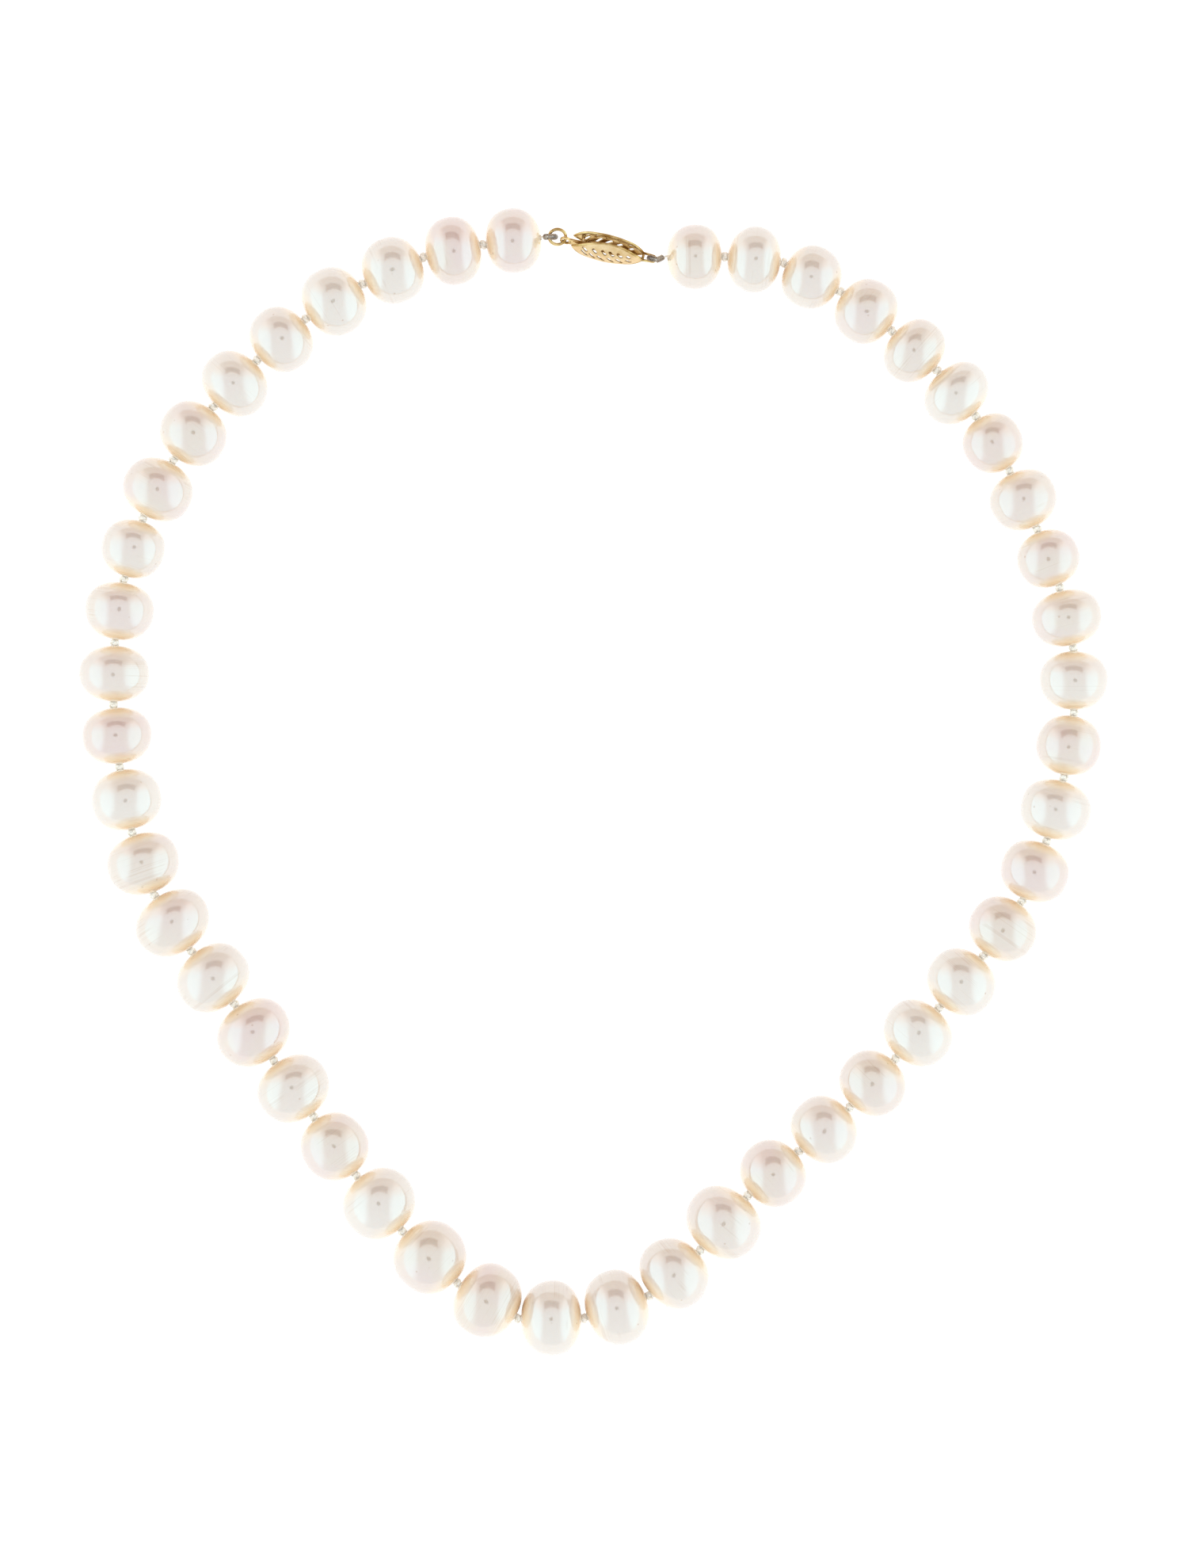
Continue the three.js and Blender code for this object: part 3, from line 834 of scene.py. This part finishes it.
def leaf_rim(name, side):
    """The rolled wire along a leaf's edge."""
    line = []
    for way in (1, -1):
        for step in range(RIM_STEPS):
            x = LEAF_LENGTH * (step / RIM_STEPS if way > 0 else 1 - step / RIM_STEPS)
            y = way * max(leaf_half_width(x), RIM_POINT)
            line.append(Vector((x, y, side * (leaf_rise(x, y) + LEAF_WALL / 2))))
    return finish_mesh(name, tube_mesh([line], RIM_RADIUS, 2, True), polished_gold)


# %% Both leaves
def make_shell():
    """Front and back leaves with their rims, riding on the shell."""
    made = []
    plans = ((1, "front", granulated_gold,
             leaf_slots(((6, 1.15, 1.2), (6, -0.2, 1.7)), -SLOT_SLANT), "matte_gold"),
             (-1, "back", polished_gold,
             leaf_slots(((5, 0.45, 1.3), (5, -0.85, 1.4)), SLOT_SLANT), "polished_gold"))
    for side, word, material, slots, slot_name in plans:
        leaf = make_leaf(f"{word}_leaf", side, material, slots)
        leaf.data.transform(to_clasp)
        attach(leaf, "shell")
        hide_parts(f"clasp_{word}_leaf")
        rim = leaf_rim(f"{word}_leaf_rim", side)
        rim.data.transform(to_clasp)
        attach(rim, "shell")
        made += [leaf, rim]
    return made


for made in make_shell():
    print(made.name, len(made.data.polygons), "faces")

# %% [markdown]
# ## Tongue, catch bar and bail
#
# The tongue is one strip of springy gold: flat and pierced at the eye, folded back on itself
# further in, so that squeezing it shut lets it slide past the catch bar. Its outline is drawn from
# the side, given its width, and its edges are then rounded with a bevel, which every worn edge
# needs to catch the light.

# %% Tongue
TONGUE_WIDTH = 1.3 * MM
TONGUE_OUTER = 0.4 * MM
TONGUE_INNER = 0.1 * MM
TONGUE_FOLD = 6.2 * MM
TONGUE_RETURN = 2.0 * MM
EYE_PLACE = -1.12 * MM
EYE_RADIUS = 0.85 * MM
EYE_HOLE = 0.5 * MM
EYE_SIDES = 40
STRIP_OVERLAP = 0.1 * MM
FOLD_STEPS = 12
EDGE_ROUND = 0.05 * MM
SHARP_ANGLE = 35 * DEGREE


def rounded(shape, width, segments=3):
    """Rounds the sharp edges of a shape."""
    sharp = [edge for edge in shape.edges
             if edge.is_manifold and edge.calc_face_angle(0) > SHARP_ANGLE]
    bmesh.ops.bevel(shape, geom=sharp, offset=width, offset_type="OFFSET", segments=segments,
                    profile=0.5, affect="EDGES", material=-1)
    return shape


def slab(outline, depth):
    """A flat outline in x and z, given a depth along y and centred on it."""
    shape = bmesh.new()
    face = shape.faces.new([shape.verts.new((x, -depth / 2, z)) for x, z in outline])
    raised = bmesh.ops.extrude_face_region(shape, geom=[face])
    moved = [item for item in raised["geom"] if isinstance(item, bmesh.types.BMVert)]
    bmesh.ops.translate(shape, verts=moved, vec=(0, depth, 0))
    bmesh.ops.recalc_face_normals(shape, faces=shape.faces)
    return shape


def tongue_outline():
    """The folded strip from the side: in along the top, round the fold and back below."""
    start = EYE_PLACE + EYE_HOLE + STRIP_OVERLAP
    outer, inner = [], []
    for step in range(FOLD_STEPS + 1):
        angle = (0.5 - step / FOLD_STEPS) * math.pi
        outer.append((TONGUE_FOLD + TONGUE_OUTER * math.cos(angle),
                      TONGUE_OUTER * math.sin(angle)))
        inner.append((TONGUE_FOLD + TONGUE_INNER * math.cos(angle),
                      TONGUE_INNER * math.sin(angle)))
    return ([(start, TONGUE_OUTER)] + outer
            + [(TONGUE_RETURN, -TONGUE_OUTER), (TONGUE_RETURN, -TONGUE_INNER)]
            + inner[::-1] + [(start, TONGUE_INNER)])


def tongue_eye():
    """The flat eye at the strip's end: a washer spun from a small upright rectangle."""
    shape = bmesh.new()
    corners = [(EYE_HOLE, TONGUE_INNER), (EYE_RADIUS, TONGUE_INNER),
               (EYE_RADIUS, TONGUE_OUTER), (EYE_HOLE, TONGUE_OUTER)]
    ring = [shape.verts.new((radius, 0, height)) for radius, height in corners]
    edges = [shape.edges.new((ring[i], ring[(i + 1) % 4])) for i in range(4)]
    bmesh.ops.spin(shape, geom=ring + edges, cent=(0, 0, 0), axis=(0, 0, 1),
                   angle=2 * math.pi, steps=EYE_SIDES, use_merge=True, use_duplicate=False)
    bmesh.ops.remove_doubles(shape, verts=shape.verts, dist=1e-8)
    bmesh.ops.recalc_face_normals(shape, faces=shape.faces)
    bmesh.ops.translate(shape, verts=shape.verts, vec=(EYE_PLACE, 0, 0))
    return rounded(shape, EDGE_ROUND, 2)


def show_clasp_piece(name, shape, body, node):
    """Finishes one gold piece of the clasp, in place of its plain node."""
    piece = finish_mesh(name, shape, polished_gold)
    piece.data.transform(to_clasp)
    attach(piece, body)
    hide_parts(node)
    print(name, len(piece.data.polygons), "faces")


strip = rounded(slab(tongue_outline(), TONGUE_WIDTH), EDGE_ROUND)
show_clasp_piece("spring_tongue", merged([strip, tongue_eye()]), "tongue", "hook_tongue")

# %% Catch bar and bail
BAR_PLACE = 1.4 * MM
BAR_DEPTH = -0.78 * MM
BAR_RADIUS = 0.17 * MM
BAR_HALF_LENGTH = 0.85 * MM
BAIL_START = 10.3 * MM
BAIL_END = 12.23 * MM
BAIL_HALF_START = 0.62 * MM
BAIL_HALF_END = 0.5 * MM
BAIL_WIRE = 0.19 * MM
BAIL_CORNER = 0.35 * MM
BAIL_STEPS = 12


def bail_line():
    """The bail's wire: out from one leaf, round the far end and back to the other."""
    corners = [(BAIL_START, BAIL_HALF_START), (BAIL_END - BAIL_CORNER, BAIL_HALF_END)]
    line = [Vector((x, 0, z)) for x, z in corners]
    for step in range(1, BAIL_STEPS):
        angle = (0.5 - step / BAIL_STEPS) * math.pi
        line.append(Vector((BAIL_END - BAIL_CORNER + BAIL_CORNER * math.cos(angle), 0,
                            BAIL_HALF_END * math.sin(angle))))
    return line + [Vector((x, 0, -z)) for x, z in corners[::-1]]


bar_ends = [Vector((BAR_PLACE, side * BAR_HALF_LENGTH, BAR_DEPTH)) for side in (-1, -0.3, 0.3, 1)]
show_clasp_piece("catch_wire", tube_mesh([bar_ends], BAR_RADIUS, 3), "shell", "catch_bar")
joint_line = [Vector((BAIL_START + 0.1 * MM, 0, z * MM)) for z in (-0.6, -0.2, 0.2, 0.6)]
bail_shape = tube_mesh([bail_line(), joint_line], BAIL_WIRE, 3)
show_clasp_piece("bail_wire", bail_shape, "shell", "clasp_bail")

# %% [markdown]
# ## Jump ring and gimp
#
# The jump ring is a short length of round wire bent to a circle, with a fine seam where its ends
# meet. Gimp is a spring of hair-thin wire, slipped over the silk where it loops round metal, so
# that the ring wears the wire and not the thread. Its coil really is wound here, turn by turn,
# along the same loop as the plain model's sleeve.

# %% Jump ring
RING_RADIUS = 1.21 * MM
RING_WIRE = 0.23 * MM
SEAM = 2.5 * DEGREE
RING_TILT = 26 * DEGREE
SEAM_PLACE = 2.2
RING_STEPS = 60


def make_ring():
    """The ring of wire, tilted a little, with its seam turned up and to the left."""
    low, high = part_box("jump_ring")
    middle = (low + high) / 2
    line = []
    for step in range(RING_STEPS + 1):
        angle = SEAM_PLACE + SEAM / 2 + (2 * math.pi - SEAM) * step / RING_STEPS
        spot = RING_RADIUS * Vector((math.cos(angle), math.sin(angle), 0))
        line.append(middle + Matrix.Rotation(RING_TILT, 3, "X") @ spot)
    ring = finish_mesh("split_ring", tube_mesh([line], RING_WIRE, 4), polished_gold)
    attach(ring, "ring")
    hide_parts("jump_ring")
    return ring


print("jump ring", len(make_ring().data.polygons), "faces")

# %% Gimp
GIMP_RADIUS = 0.35 * MM
GIMP_WIRE = 0.085 * MM
GIMP_PITCH = 0.21 * MM
GIMP_BEND = 0.9 * MM
GIMP_LEAD = 0.3 * MM
GIMP_START = 0.16 * MM
GIMP_SPREAD = 0.48 * MM
LOOP_THREAD = 0.15 * MM
LOOP_THREAD_SPREAD = 0.05 * MM
LOOP_THREAD_SPACING = 0.15 * MM
POINTS_PER_TURN = 11
LOOP_STEPS = 6
LOOP_PINCH = 0.96
CURVE_STEPS = 12


def smooth_line(points, spacing):
    """Even points along the smooth curve through a few."""
    padded = [2 * points[0] - points[1], *points, 2 * points[-1] - points[-2]]
    fine = []
    for index in range(1, len(padded) - 2):
        a, b, c, d = padded[index - 1:index + 3]
        for step in range(CURVE_STEPS):
            t = step / CURVE_STEPS
            fine.append(0.5 * (2 * b + (c - a) * t + (2 * a - 5 * b + 4 * c - d) * t ** 2
                               + (3 * b - a - 3 * c + d) * t ** 3))
    fine.append(points[-1])
    line, carried = [fine[0]], 0.0
    for before, after in zip(fine, fine[1:]):
        length = (after - before).length
        while length > 0 and carried + length >= spacing:
            before = before.lerp(after, (spacing - carried) / length)
            line.append(before)
            length = (after - before).length
            carried = 0.0
        carried += length
    return line


def gimp_route(knot, pivot, inward, start, spread):
    """The loop from a pearl, over a wire at pivot, and back."""
    approach = (pivot - knot) * Vector((1, 1, 0))
    foot = knot + approach.normalized() * start
    up = Vector((0, 0, 1))
    foot.z = pivot.z
    points = [foot + up * spread, pivot - inward * GIMP_LEAD + up * GIMP_BEND * LOOP_PINCH]
    for step in range(LOOP_STEPS + 1):
        angle = (0.5 - step / LOOP_STEPS) * math.pi
        points.append(pivot + GIMP_BEND * (inward * math.cos(angle) + up * math.sin(angle)))
    points += [pivot - inward * GIMP_LEAD - up * GIMP_BEND * LOOP_PINCH, foot - up * spread]
    return points


def coil(line):
    """A fine spring wound round a line."""
    wound = []
    side = (line[1] - line[0]).normalized().orthogonal().normalized()
    turns_per_step = (line[1] - line[0]).length / GIMP_PITCH
    for index, spot in enumerate(line):
        ahead = line[min(index + 1, len(line) - 1)] - line[max(index - 1, 0)]
        ahead.normalize()
        side = (side - ahead * side.dot(ahead)).normalized()
        angle = 2 * math.pi * turns_per_step * index
        other = ahead.cross(side)
        wound.append(spot + GIMP_RADIUS * (side * math.cos(angle) + other * math.sin(angle)))
    return wound


def make_gimp(name, node, knot, pivot, inward, body):
    """The wound sleeve and the thread inside it."""
    route = smooth_line(gimp_route(knot, pivot, inward, GIMP_START, GIMP_SPREAD),
                        GIMP_PITCH / POINTS_PER_TURN)
    sleeve = finish_mesh(name, tube_mesh([coil(route)], GIMP_WIRE, 1), tarnished_wire)
    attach(sleeve, body)
    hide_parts(node)
    inner = smooth_line(gimp_route(knot, pivot, inward, -GAP / 2, LOOP_THREAD_SPREAD),
                        LOOP_THREAD_SPACING)
    thread = finish_mesh(f"silk_in_{name}", tube_mesh([inner], LOOP_THREAD, 1), twisted_silk)
    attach(thread, body)
    return sleeve


ring_pivot = joint_place("loop_squeeze_clasp")
shell_inward = shell_turn.to_3x3() @ Vector((-1, 0, 0))
left_gimp = make_gimp("left_gimp_coil", "gimp_left", knots[0], ring_pivot, Vector((1, 0, 0)),
                      link_body(1))
right_gimp = make_gimp("right_gimp_coil", "gimp_right", knots[-1], bail_pivot, shell_inward,
                       link_body(PEARL_COUNT))
print("gimp coils", len(left_gimp.data.polygons), "and", len(right_gimp.data.polygons), "faces")
